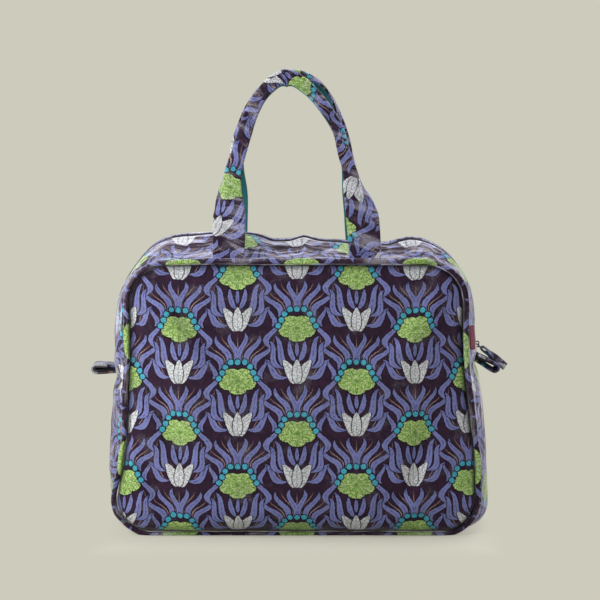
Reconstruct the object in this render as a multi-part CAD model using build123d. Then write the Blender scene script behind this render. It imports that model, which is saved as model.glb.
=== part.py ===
# A soft zipped carpet bag with two folded strap handles.
# Millimetres, +Z up. The front faces -Y, and the origin is on the floor under the middle of the base.
from build123d import *
from math import asin, atan2, cos, degrees, hypot, pi, radians, sin, sqrt, tan
import os

os.makedirs("parts", exist_ok=True)

# Outline of the front and rear panels where they are seamed to the gusset
seam_bottom_width = 430
seam_top_width = 392
seam_low = 8.5
seam_high = 320
seam_bottom_radius = 41
seam_top_radius = 48
seam_depth = 170

# Half way between the two panels the gusset stands proud of the seams by these amounts
low_side_bulge = 20
high_side_bulge = 15
crown_rise = 30
base_sag = 1.2
middle_bottom_radius = 30
middle_top_radius = 75

# Velvet and wadding sewn as one wall, domed on the two panels
wall = 2.6
panel_dome = 20
panel_turn = 40
dome_bands = 5
gusset_bands = 4
corner_facets = 8

# Piping round both panels
piping_diameter = 7
piping_ease = 1.0
seam_ply = 1.0
seam_allowance = 9
piping_facets = 8

# Zip, from one side over the top to the other side
zip_gap = 10
left_zip_end = 187
right_zip_end = 200
tape_width = 13
tape_thickness = 0.8
coil_width = 2.6
coil_height = 2.2
coil_gap = 1.2
stop_length = 3
stop_height = 2.6
stop_gap = 0.5
sewing_gap = 0.1

# Slider and its pull
slider_parking = 20
slider_length = 12
slider_width = 8.4
slider_plate = 1.2
slider_rim = 0.8
slider_web = 0.8
slider_clearance = 0.3
bridge_length = 8
bridge_height = 4.2
bridge_width = 2.4
pull_wire = 1.4
pull_ring_width = 11
pull_ring_length = 9
pull_strap_width = 9
pull_strap_length = 38
pull_strap_ply = 1.4
pull_droop = 44

# Loop tabs at the ends of the zip
tab_length = 28
tab_width = 30
tab_opening = 10
tab_root_opening = 1
tab_ply = 2.4
left_tab_droop = 0
right_tab_droop = 32

# Handles: a velvet strap lined in plain cloth, folded in half along its length above each foot
handle_spacing = 162
handle_rise = 230
handle_width = 38
handle_squareness = 0.77
velvet_ply = 2.4
lining_ply = 1.5
fold_strip = 6
fold_starts = 0.2
fold_ends = 0.44
folded_turn = 172
apex_gap = 14
front_apex_shift = -9
rear_apex_shift = -4
handle_spans = 26
station_crowding = 0.42
tangent_step = 0.02
least_fold = 0.01
foot_clearance = 0.3

# Plain side tab caught in the right front seam
side_tab_height = 24
side_tab_reach = 9
side_tab_thickness = 1.0
side_tab_edge_radius = 0.45
side_tab_from_floor = 225

middle_bottom_width = seam_bottom_width + 2 * low_side_bulge
middle_top_width = seam_top_width + 2 * high_side_bulge
middle_high = seam_high + crown_rise
half_depth = seam_depth / 2
piping_radius = piping_diameter / 2
gusset_end = half_depth - seam_ply / 2
room = 2 * (middle_bottom_width + middle_high)


def between(start, end, share):
    return start + (end - start) * share


def box_between(low, high):
    size = [b - a for a, b in zip(low, high)]
    middle = [(a + b) / 2 for a, b in zip(low, high)]
    return Pos(*middle) * Box(*size)


def zip_end(side):
    return right_zip_end if side > 0 else left_zip_end


def beyond_zip_ends(low, high):
    """Two boxes side by side that reach from low to high, where None is the end of the zip."""
    boxes = []
    for side in (-1, 1):
        near = (min(0, side * room), -room, zip_end(side) if low is None else low)
        far = (max(0, side * room), room, zip_end(side) if high is None else high)
        boxes.append(box_between(near, far))
    return boxes[0] + boxes[1]


def write(shape, name):
    export_step(shape, f"parts/{name}.step")


def rounded_outline(y, bottom_half, top_half, low, high, bottom_radius, top_radius):
    """Closed line of a tapered rectangle with rounded corners, upright at depth y."""
    corners = [
        (-bottom_half, y, low),
        (bottom_half, y, low),
        (top_half, y, high),
        (-top_half, y, high),
    ]
    radii = [bottom_radius, bottom_radius, top_radius, top_radius]
    return Wire(FilletPolyline(*corners, radius=radii, close=True).edges())


def facet_points(outline):
    """Points round an outline, with each round corner in straight steps so that cloth stays light to draw."""
    points = []
    for edge in outline.order_edges():
        steps = corner_facets if edge.geom_type == GeomType.CIRCLE else 1
        points += [edge @ (step / steps) for step in range(steps)]
    return points


def flat_face(*points):
    return Face(Wire.make_polygon(points, close=True))


def faceted_loft(sections, looped=False):
    """Solid through outlines of as many points each, in flat facets split along the shorter diagonal."""
    faces = [] if looped else [flat_face(*sections[0]), flat_face(*sections[-1])]
    following = sections[1:] + (sections[:1] if looped else [])
    for near, far in zip(sections, following):
        for a, b, c, d in zip(near, near[1:] + near[:1], far[1:] + far[:1], far):
            if (a - c).length < (b - d).length:
                faces += [flat_face(a, b, c), flat_face(a, c, d)]
            else:
                faces += [flat_face(a, b, d), flat_face(b, c, d)]
    return Solid(Shell(faces))


def bag_outline(y, bulge, base_bulge, inset):
    """Outline between that of the seam, at bulge 0, and that of the middle, at bulge 1."""
    low = between(seam_low, -base_sag, base_bulge)
    high = between(seam_high, middle_high, bulge)
    bottom_half = between(seam_bottom_width, middle_bottom_width, bulge) / 2
    top_half = between(seam_top_width, middle_top_width, bulge) / 2
    taper = (bottom_half - top_half) / (high - low)
    side_inset = inset * hypot(1, taper)
    return rounded_outline(
        y,
        bottom_half - side_inset - inset * taper,
        top_half - side_inset + inset * taper,
        low + inset,
        high - inset,
        between(seam_bottom_radius, middle_bottom_radius, bulge) - inset,
        between(seam_top_radius, middle_top_radius, bulge) - inset,
    )


def seam_outline(y, inset):
    return bag_outline(y, 0, 0, inset)


def gusset_body(inset, end):
    """Closed form of the gusset, with a base that lies flat between its seams."""
    sections = []
    for band in range(-gusset_bands, gusset_bands + 1):
        y = end * band / gusset_bands
        depth = abs(y) / half_depth
        sections.append(facet_points(bag_outline(y, 1 - depth**2, 1 - depth**4, inset)))
    return faceted_loft(sections)


def dome_body(inset):
    """Pillow of the front panel: flat in the middle, turning back to its seam all round."""
    sections = []
    for band in range(dome_bands + 1):
        angle = pi / 2 * band / dome_bands
        depth = (panel_dome - inset) * sin(angle)
        turn = (panel_turn - inset) * (1 - cos(angle))
        sections.append(facet_points(seam_outline(-half_depth - seam_ply / 2 - depth, inset + turn)))
    return faceted_loft(sections)


def piping():
    """Cord beside the front seam, with the flange that is caught between panel and gusset."""
    half_ply = seam_ply / 2
    cord_middle = piping_radius + piping_ease
    mouth = degrees(asin(half_ply / piping_radius))
    profile = [(-seam_allowance, -half_ply)]
    for step in range(piping_facets + 1):
        angle = radians(180 + mouth + (360 - 2 * mouth) * step / piping_facets)
        profile.append((cord_middle + piping_radius * cos(angle), piping_radius * sin(angle)))
    profile.append((-seam_allowance, half_ply))
    rings = [facet_points(seam_outline(-half_depth + y, -outset)) for outset, y in profile]
    return faceted_loft(rings, True)


above_zip_ends = beyond_zip_ends(None, room)

# The zip lies level across its width, just under the gusset at the tape's outer edge
crown_drop = crown_rise / gusset_bands**2
tape_inset = wall + crown_drop * tape_width * gusset_bands / half_depth + sewing_gap
coil_inset = tape_inset - coil_height


def zip_band(inset, thickness, near, far, gap):
    """Strip along the zip line, over the top, to a gap short of the zip's ends."""
    outer = flat_face(*facet_points(bag_outline(near, 1, 1, inset)))
    inner = flat_face(*facet_points(bag_outline(near, 1, 1, inset + thickness)))
    ring = extrude(outer - inner, amount=far - near, dir=(0, 1, 0))
    return ring & (Pos(0, 0, gap) * above_zip_ends)


def side_x(height):
    """Half width of the middle outline at a height on its straight side."""
    share = (height + base_sag) / (middle_high + base_sag)
    return between(middle_bottom_width, middle_top_width, share) / 2


side_slope = degrees(atan2(side_x(0) - side_x(1), 1))


def side_place(side, height):
    """Place on the bag's side: X outwards, Z up along the zip."""
    turn = 0 if side > 0 else 180
    return Pos(side * side_x(height), 0, height) * Rot(0, 0, turn) * Rot(0, -side_slope, 0)


def zip_stop(side):
    """Metal stop clamped over both tapes where the coil ends."""
    width = coil_gap + 2 * coil_width
    clip = box_between((-tape_inset, -width / 2, 0), (-tape_inset + stop_height, width / 2, stop_length))
    clip = chamfer(clip.edges().group_by(Axis.X)[-1], stop_height / 4)
    return side_place(side, zip_end(side) + stop_gap) * clip


def slider():
    """Two plates round the coil, joined by a web, with rims and a bridge for the ring."""
    coil_top = -coil_inset + slider_clearance
    tape_under = -tape_inset - tape_thickness - slider_clearance
    half_width = slider_width / 2
    half_length = slider_length / 2
    plates = []
    for face in (coil_top, tape_under - slider_plate):
        plate = box_between((face, -half_width, -half_length), (face + slider_plate, half_width, half_length))
        plates.append(fillet(plate.edges().filter_by(Axis.X), half_width / 2))
    web_top = (tape_under - slider_plate / 2, -slider_web / 2, -half_length + slider_plate)
    web = box_between(web_top, (coil_top + slider_plate / 2, slider_web / 2, 0))
    body = plates[0] + plates[1] + web
    rim_half = half_length - half_width / 2
    for side in (-1, 1):
        edges = sorted((side * (half_width - slider_rim), side * half_width))
        rim_low = (coil_top - coil_height / 2, edges[0], -rim_half)
        body += box_between(rim_low, (coil_top + slider_plate / 2, edges[1], rim_half))
    bridge_foot = coil_top + slider_plate
    arch = box_between(
        (bridge_foot - slider_plate / 2, -bridge_width / 2, -bridge_length / 2),
        (bridge_foot + bridge_height, bridge_width / 2, bridge_length / 2),
    )
    arch = fillet(arch.edges().filter_by(Axis.Y).group_by(Axis.X)[-1], slider_plate)
    hole = box_between(
        (bridge_foot, -bridge_width, -bridge_length / 2 + slider_plate),
        (bridge_foot + bridge_height - slider_plate, bridge_width, bridge_length / 2 - slider_plate),
    )
    return body + (arch - hole)


slider_height = right_zip_end + slider_parking
hinge_out = -coil_inset + slider_clearance + slider_plate + (bridge_height - slider_plate) / 2
slider_place = side_place(1, slider_height)
pull_place = slider_place * Pos(hinge_out, 0, 0) * Rot(0, side_slope + pull_droop, 0)


def pull_ring():
    """Square-cut ring through the bridge, lying along X from the hinge."""
    outer = RectangleRounded(pull_ring_length + pull_wire, pull_ring_width + pull_wire, pull_wire)
    inner = Rectangle(pull_ring_length - pull_wire, pull_ring_width - pull_wire)
    return Pos(pull_ring_length / 2, 0, -pull_wire / 2) * extrude(outer - inner, amount=pull_wire)


def pull_strap():
    """Strip of velvet folded round the far bar of the ring and sewn to itself."""
    eye = pull_wire / sqrt(2) + sewing_gap
    side = Plane(origin=(pull_ring_length, pull_strap_width / 2, 0), x_dir=(1, 0, 0), z_dir=(0, -1, 0))
    round_eye = Circle(eye + pull_strap_ply)
    tail = Pos(pull_strap_length / 2, 0, 0) * Rectangle(pull_strap_length, 2 * pull_strap_ply)
    profile = round_eye + tail - Circle(eye)
    return extrude(side * profile, amount=pull_strap_width)


def loop_tab(side, droop):
    """Strap doubled into a loop, both ends caught in the seam under the zip."""
    end_radius = tab_opening / 2 + tab_ply
    tip = Pos(tab_length - end_radius, 0) * Circle(end_radius)
    root = Pos(-tab_ply, 0) * Rectangle(2 * tab_ply, 2 * tab_ply + tab_root_opening)
    outer = make_hull((tip + root).edges())
    beyond_root = Pos(tab_length / 2 + tab_ply, 0) * Rectangle(tab_length, tab_length)
    inner = offset(outer, amount=-tab_ply) & beyond_root
    upright = Plane(origin=(0, tab_width / 2, 0), x_dir=(1, 0, 0), z_dir=(0, -1, 0))
    loop = extrude(upright * (outer - inner), amount=tab_width)
    return side_place(side, zip_end(side)) * Rot(0, side_slope + droop, 0) * loop


foot_y = -(half_depth - piping_radius - foot_clearance - velvet_ply)
handle_lean = atan2(-foot_y - apex_gap / 2, handle_rise)


def handle_point(angle, apex_shift):
    """Point of the fold line, from the left foot at angle 0 over the top to the right foot at pi."""
    rise = sin(angle) ** handle_squareness
    x = -handle_spacing / 2 * cos(angle) + apex_shift * rise
    return Vector(x, foot_y + rise * handle_rise * tan(handle_lean), seam_high + rise * handle_rise)


def strap_section(angle, apex_shift, lower_face, upper_face):
    """Outline of one ply of the strap, square to the fold line, between two faces.

    The half towards the hand opening stays facing the front, and the outer half wraps behind it.
    """
    before = handle_point(max(angle - tangent_step, 0), apex_shift)
    ahead = handle_point(min(angle + tangent_step, pi), apex_shift) - before
    back = Vector(0, cos(handle_lean), -sin(handle_lean))
    inwards = back.cross(ahead).normalized()
    rise = sin(angle) ** handle_squareness
    share = min(max((rise - fold_starts) / (fold_ends - fold_starts), least_fold), 1)
    turn = radians(folded_turn) * share * share * (3 - 2 * share)
    radius = fold_strip / turn
    half_flat = (handle_width - fold_strip) / 2
    fold_line = handle_point(angle, apex_shift)
    centre = fold_line + (inwards * sin(turn / 2) + back * cos(turn / 2)) * radius
    faces = []
    for face in (lower_face, upper_face):
        outwards = [inwards * -sin(bend) - back * cos(bend) for bend in (turn, turn / 2, 0)]
        bends = [centre + direction * (radius + face) for direction in outwards]
        outer_edge = bends[0] + (inwards * -cos(turn) + back * sin(turn)) * half_flat
        inner_edge = bends[2] + inwards * half_flat
        faces.append([outer_edge, *bends, inner_edge])
    return faces[0] + faces[1][::-1]


def strap_ply(apex_shift, lower_face, upper_face):
    even = [pi * step / handle_spans for step in range(handle_spans + 1)]
    angles = [angle - station_crowding * sin(2 * angle) for angle in even]
    sections = [strap_section(angle, apex_shift, lower_face, upper_face) for angle in angles]
    return faceted_loft(sections) - gusset_outside


def side_tab():
    """Folded ribbon that stands out over the piping, flat against its front."""
    share = (side_tab_from_floor - seam_low) / (seam_high - seam_low)
    seam_x = between(seam_bottom_width, seam_top_width, share) / 2
    tilt = degrees(atan2(seam_bottom_width - seam_top_width, 2 * (seam_high - seam_low)))
    ribbon = Box(side_tab_reach, side_tab_thickness, side_tab_height, align=(Align.MIN, Align.MAX, Align.MIN))
    ribbon = fillet(ribbon.edges().filter_by(Axis.Z).group_by(Axis.X)[-1], side_tab_edge_radius)
    front = -half_depth - piping_radius - foot_clearance
    return Pos(seam_x + foot_clearance, front, side_tab_from_floor) * Rot(0, -tilt, 0) * ribbon


# Panels
front_panel = dome_body(0) - dome_body(wall)
write(front_panel, "front_panel")
write(front_panel.mirror(Plane.XZ), "rear_panel")

# Gusset: one strip round the base and lower sides, and two beside the zip over the top
gusset_outside = gusset_body(0, gusset_end)
gusset = gusset_outside - gusset_body(wall, half_depth)
front_of_zip = box_between((-room, -room, 0), (room, -zip_gap / 2, room))
top_gusset_front = gusset & above_zip_ends & front_of_zip
write(gusset & beyond_zip_ends(0, None), "base_gusset")
write(top_gusset_front, "top_gusset_front")
write(top_gusset_front.mirror(Plane.XZ), "top_gusset_rear")

front_piping = piping()
write(front_piping, "front_piping")
write(front_piping.mirror(Plane.XZ), "rear_piping")

# Zip
coil_far = -coil_gap / 2
zip_tape_front = zip_band(tape_inset, tape_thickness, -tape_width, coil_far, sewing_gap)
past_stop = stop_length + 2 * stop_gap
zip_coil_front = zip_band(coil_inset, coil_height, coil_far - coil_width, coil_far, past_stop)
write(zip_tape_front, "zip_tape_front")
write(zip_tape_front.mirror(Plane.XZ), "zip_tape_rear")
write(zip_coil_front, "zip_coil_front")
write(zip_coil_front.mirror(Plane.XZ), "zip_coil_rear")
write(zip_stop(-1), "zip_stop_left")
write(zip_stop(1), "zip_stop_right")
write(slider_place * slider(), "zip_slider")
write(pull_place * pull_ring(), "zip_pull_ring")
write(pull_place * pull_strap(), "zip_pull_strap")
write(loop_tab(-1, left_tab_droop) - gusset_outside, "loop_tab_left")
write(loop_tab(1, right_tab_droop) - gusset_outside, "loop_tab_right")

# Handles
write(strap_ply(front_apex_shift, 0, velvet_ply), "front_handle")
write(strap_ply(front_apex_shift, -lining_ply, 0), "front_handle_lining")
write(strap_ply(rear_apex_shift, 0, velvet_ply).mirror(Plane.XZ), "rear_handle")
write(strap_ply(rear_apex_shift, -lining_ply, 0).mirror(Plane.XZ), "rear_handle_lining")

write(side_tab(), "side_tab")
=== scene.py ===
import bpy
import numpy as np
from math import atan2, cos, degrees, hypot, pi, radians, sin, tan
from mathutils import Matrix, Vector, noise


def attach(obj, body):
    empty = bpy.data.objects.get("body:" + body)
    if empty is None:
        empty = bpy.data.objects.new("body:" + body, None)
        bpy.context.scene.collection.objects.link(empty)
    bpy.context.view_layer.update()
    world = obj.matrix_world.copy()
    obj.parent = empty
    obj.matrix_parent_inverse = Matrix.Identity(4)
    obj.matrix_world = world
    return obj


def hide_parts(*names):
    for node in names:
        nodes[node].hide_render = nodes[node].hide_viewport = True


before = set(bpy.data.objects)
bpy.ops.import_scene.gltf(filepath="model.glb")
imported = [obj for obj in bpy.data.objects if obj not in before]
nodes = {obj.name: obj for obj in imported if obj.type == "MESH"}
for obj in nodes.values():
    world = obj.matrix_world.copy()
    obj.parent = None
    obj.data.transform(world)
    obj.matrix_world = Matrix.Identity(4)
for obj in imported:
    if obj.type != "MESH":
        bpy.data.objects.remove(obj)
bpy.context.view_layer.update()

bpy.context.scene.view_settings.view_transform = "Standard"


# ---- camera, floor and light

view = {"place": (0.0035, -2.345, 0.49), "pitch": 5.25, "lens": 115.1}
studio = {"background": "CDCBBC", "world": 0.21, "key": 12.9, "fill": 8.5, "rim": 38.0, "floorShare": 0.3, "floorFade": (0.09, 0.13)}


def linear(code, gain=1.0):
    parts = [int(code[i:i + 2], 16) / 255 for i in (0, 2, 4)]
    parts = [p / 12.92 if p < 0.04045 else ((p + 0.055) / 1.055) ** 2.4 for p in parts]
    return (parts[0] * gain, parts[1] * gain, parts[2] * gain, 1)


# reads a table of (place, value) pairs with a smooth curve through them
def readTable(table, place):
    xs = [pair[0] for pair in table]
    ys = [pair[1] for pair in table]
    place = min(max(place, xs[0]), xs[-1])
    slopes = np.gradient(ys, xs) if len(xs) > 2 else [(ys[1] - ys[0]) / (xs[1] - xs[0])] * 2
    k = min(int(np.searchsorted(xs, place, "right")) - 1, len(xs) - 2)
    span = xs[k + 1] - xs[k]
    t = (place - xs[k]) / span
    start = ys[k] * (1 + 2 * t) * (1 - t) ** 2 + slopes[k] * span * t * (1 - t) ** 2
    return start + ys[k + 1] * t * t * (3 - 2 * t) + slopes[k + 1] * span * t * t * (t - 1)


# ---- shader nodes written as Python expressions

class Link:
    def __init__(self, shader, socket):
        self.shader = shader
        self.socket = socket

    def maths(self, operation, *others):
        values = {0: self}
        for index, other in enumerate(others):
            values[index + 1] = other
        return self.shader.node("ShaderNodeMath", {"operation": operation}, values)

    def __add__(self, other):
        return self.maths("ADD", other)

    def __sub__(self, other):
        return self.maths("SUBTRACT", other)

    def __mul__(self, other):
        return self.maths("MULTIPLY", other)

    def __truediv__(self, other):
        return self.maths("DIVIDE", other)

    def __rsub__(self, other):
        return self.shader.node("ShaderNodeMath", {"operation": "SUBTRACT"}, {0: other, 1: self})

    def __rtruediv__(self, other):
        return self.shader.node("ShaderNodeMath", {"operation": "DIVIDE"}, {0: other, 1: self})

    def __neg__(self):
        return self.maths("MULTIPLY", -1.0)

    def __abs__(self):
        return self.maths("ABSOLUTE")

    __radd__ = __add__
    __rmul__ = __mul__

    def sin(self):
        return self.maths("SINE")

    def cos(self):
        return self.maths("COSINE")

    def sqrt(self):
        return self.maths("SQRT")

    def floor(self):
        return self.maths("FLOOR")

    def least(self, other):
        return self.maths("MINIMUM", other)

    def most(self, other):
        return self.maths("MAXIMUM", other)

    def wrap(self, low, high):
        return self.maths("WRAP", high, low)

    # 0 at start and 1 at end, eased between them; start may be the larger
    def ease(self, start, end):
        values = {"Value": self, "From Min": start, "From Max": end}
        return self.shader.node("ShaderNodeMapRange", {"interpolation_type": "SMOOTHSTEP"}, values)


class Shader:
    def __init__(self, name):
        self.material = bpy.data.materials.new(name)
        self.material.use_nodes = True
        self.tree = self.material.node_tree
        self.tree.nodes.clear()

    # any node: settings first, then values or links of its sockets
    def node(self, kind, settings=None, values=None, output=0):
        made = self.tree.nodes.new(kind)
        for key, setting in (settings or {}).items():
            if key == "stops":
                while len(made.color_ramp.elements) < len(setting):
                    made.color_ramp.elements.new(0.5)
                for element, (position, colour) in zip(made.color_ramp.elements, setting):
                    element.position = position
                    element.color = colour
            else:
                setattr(made, key, setting)
        for key, value in (values or {}).items():
            if isinstance(value, Link):
                self.tree.links.new(value.socket, made.inputs[key])
            else:
                made.inputs[key].default_value = value
        return Link(self, made.outputs[output]) if made.outputs else None

    def mix(self, below, above, mask):
        return self.node("ShaderNodeMix", {"data_type": "RGBA"}, {0: mask, 6: below, 7: above}, 2)

    def tint(self, colour, shade, mask):
        settings = {"data_type": "RGBA", "blend_type": "MULTIPLY"}
        return self.node("ShaderNodeMix", settings, {0: mask, 6: colour, 7: shade}, 2)

    def parts(self, vector):
        made = self.tree.nodes.new("ShaderNodeSeparateXYZ")
        self.tree.links.new(vector.socket, made.inputs[0])
        return [Link(self, made.outputs[index]) for index in range(3)]

    def place(self):
        return self.node("ShaderNodeTexCoord", None, None, "Object")

    def clothPlace(self):
        return self.node("ShaderNodeUVMap", {"uv_map": "cloth"})

    def noise(self, vector, scale, detail=2.0, roughness=0.5, output=0):
        values = {"Vector": vector, "Scale": scale, "Detail": detail, "Roughness": roughness}
        return self.node("ShaderNodeTexNoise", None, values, output)

    def bump(self, height, strength, distance, normal=None):
        values = {"Height": height, "Strength": strength, "Distance": distance}
        if normal:
            values["Normal"] = normal
        return self.node("ShaderNodeBump", None, values)

    def principled(self, **values):
        return self.node("ShaderNodeBsdfPrincipled", None, {key.replace("_", " "): v for key, v in values.items()})

    def output(self, surface):
        self.node("ShaderNodeOutputMaterial", None, {"Surface": surface})
        return self.material

    def finish(self, **values):
        return self.output(self.principled(**values))


def vectorSum(first, second):
    return first.shader.node("ShaderNodeVectorMath", {"operation": "ADD"}, {0: first, 1: second})


def vectorScale(vector, factors):
    return vector.shader.node("ShaderNodeVectorMath", {"operation": "MULTIPLY"}, {0: vector, 1: factors})


def studioSurface(name, colour, share):
    shader = Shader(name)
    camera = shader.node("ShaderNodeLightPath", None, None, "Is Camera Ray")
    glossy = shader.node("ShaderNodeLightPath", None, None, "Is Glossy Ray")
    seen = camera.most(glossy)
    place = shader.place()
    x, y, z = shader.parts(place)
    away = (abs(x) - 0.16).ease(0.0, studio["floorFade"][0]).most((abs(y) - 0.08).ease(0.0, studio["floorFade"][1]))
    flat = shader.node("ShaderNodeEmission", None, {"Color": colour, "Strength": 1.0})
    lit = shader.node("ShaderNodeBsdfDiffuse", None, {"Color": colour})
    mask = seen * (share + (1 - share) * away)
    surface = shader.node("ShaderNodeMixShader", None, {0: mask, 1: lit, 2: flat})
    shader.node("ShaderNodeOutputMaterial", None, {"Surface": surface})
    return shader.material


def setCamera():
    data = bpy.data.cameras.new("camera")
    data.lens = view["lens"]
    data.sensor_width = 36
    eye = bpy.data.objects.new("camera", data)
    bpy.context.scene.collection.objects.link(eye)
    eye.location = view["place"]
    eye.rotation_euler = (radians(90 - view["pitch"]), 0, 0)
    bpy.context.scene.camera = eye


def areaLight(name, place, aim, size, power, colour=(1, 1, 1)):
    data = bpy.data.lights.new(name, "AREA")
    data.shape = "DISK"
    data.size = size
    data.energy = power
    data.color = colour
    lamp = bpy.data.objects.new(name, data)
    bpy.context.scene.collection.objects.link(lamp)
    lamp.location = place
    lamp.rotation_euler = (Vector(aim) - Vector(place)).to_track_quat("-Z", "Y").to_euler()


def setStudio():
    colour = linear(studio["background"])
    world = bpy.data.worlds.new("studio")
    world.use_nodes = True
    tree = world.node_tree
    tree.nodes.clear()
    path = tree.nodes.new("ShaderNodeLightPath")
    either = tree.nodes.new("ShaderNodeMath")
    either.operation = "MAXIMUM"
    tree.links.new(path.outputs["Is Camera Ray"], either.inputs[0])
    tree.links.new(path.outputs["Is Glossy Ray"], either.inputs[1])
    seen = tree.nodes.new("ShaderNodeBackground")
    seen.inputs[0].default_value = colour
    ambient = tree.nodes.new("ShaderNodeBackground")
    ambient.inputs[0].default_value = (0.95, 0.97, 1.0, 1)
    ambient.inputs[1].default_value = studio["world"]
    mixed = tree.nodes.new("ShaderNodeMixShader")
    tree.links.new(either.outputs[0], mixed.inputs[0])
    tree.links.new(ambient.outputs[0], mixed.inputs[1])
    tree.links.new(seen.outputs[0], mixed.inputs[2])
    tree.links.new(mixed.outputs[0], tree.nodes.new("ShaderNodeOutputWorld").inputs[0])
    bpy.context.scene.world = world
    bpy.ops.mesh.primitive_plane_add(size=6, location=(0, 0, 0))
    floor = bpy.context.object
    floor.name = "floor"
    floor.data.materials.append(studioSurface("studio floor", colour, studio["floorShare"]))
    areaLight("key", (-0.77, -0.58, 0.62), (-0.05, 0, 0.2), 0.8, studio["key"])
    areaLight("fill", (1.3, -0.13, 0.50), (0.2, 0, 0.15), 0.8, studio["fill"], (0.93, 0.90, 1.0))
    areaLight("rim", (0.25, 0.6, 1.7), (0, 0, 0.3), 1.4, studio["rim"])


setCamera()
setStudio()
print("studio set")


# ---- velvet print: lime blooms, white tulips and blue berries among curling reeds

printed = {
    "column": 140.0, "row": 124.0, "shiftU": 0.0, "shiftV": 0.0,
    "ground": "321D31", "groundDeep": "1E1526", "outline": "140C18", "reed": "7276AA", "reedShade": "4C4F86",
    "lime": "8CB057", "limePale": "C6D798", "limeShade": "4C7234", "white": "D6D6DC", "whiteShade": "74817E",
    "berry": "4AA6BC", "berryShade": "2F7D96", "stem": "A88C82",
}
# start x and y, length, lean, bow, sway and half width in mm from the bloom's middle, then the turn in degrees
innerReeds = (
    (4.5, 26, 34, 2.5, -1.5, 3.5, 3.9, 2), (13.5, 23, 36, 4, -3, 4, 4.0, 13),
    (1.5, -45, 46, 5, 6, -4, 4.3, 26), (2.5, -36, 26, 1, 2.5, 0, 3.4, 12), (0, -30, 18, 0, 0, 0, 2.6, 0),
)
outerReeds = (
    (22, 16, 34, 3, -4, 4, 4.0, 25), (27, -23, 36, 2, 6.5, -6, 4.0, -8), (11, -55, 34, 6, 5, -3, 4.1, 42),
    (15, -44, 36, 3, 5, -4, 3.8, 24), (29.5, 5, 22, 2, -3, 2, 3.2, 4),
)
innerStems = ((9, 26, 36, 4, -3, 4, 1.15, 8), (18, 20, 34, 4, -3.5, 4, 1.15, 19), (0, 24, 36, 0, 0, 0, 1.1, 0), (5, -45, 40, 6, 5, -4, 1.1, 30))
outerStems = ((28, 12, 20, 3, -3, 2, 1.1, 26), (20, -40, 38, 4, 6, -4, 1.1, 8), (4, -54, 30, 5, 4, -3, 1.1, 52))
petals = ((2, -63, 29, 14, -2.5, 0, 7.6, 0), (0, -62, 28, 0, 0, 0, 5.8, 0))


# a curled stroke: how far inside its edge a place is, and how far off its midrib
def strokeShape(x, y, startX, startY, length, lean, bow, sway, width, turn):
    x, y = x - startX, y - startY
    if turn:
        x, y = x * cos(radians(turn)) - y * sin(radians(turn)), x * sin(radians(turn)) + y * cos(radians(turn))
    t = y / length
    hump = t * (1 - t)
    axis = t * lean + hump * (4 * bow - 10 * sway) + hump * t * (20 * sway)
    off = abs(x - axis)
    return hump.sqrt() * (2.5 * width - t * width) + hump.least(0) * 60 - off - 0.5, off


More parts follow.
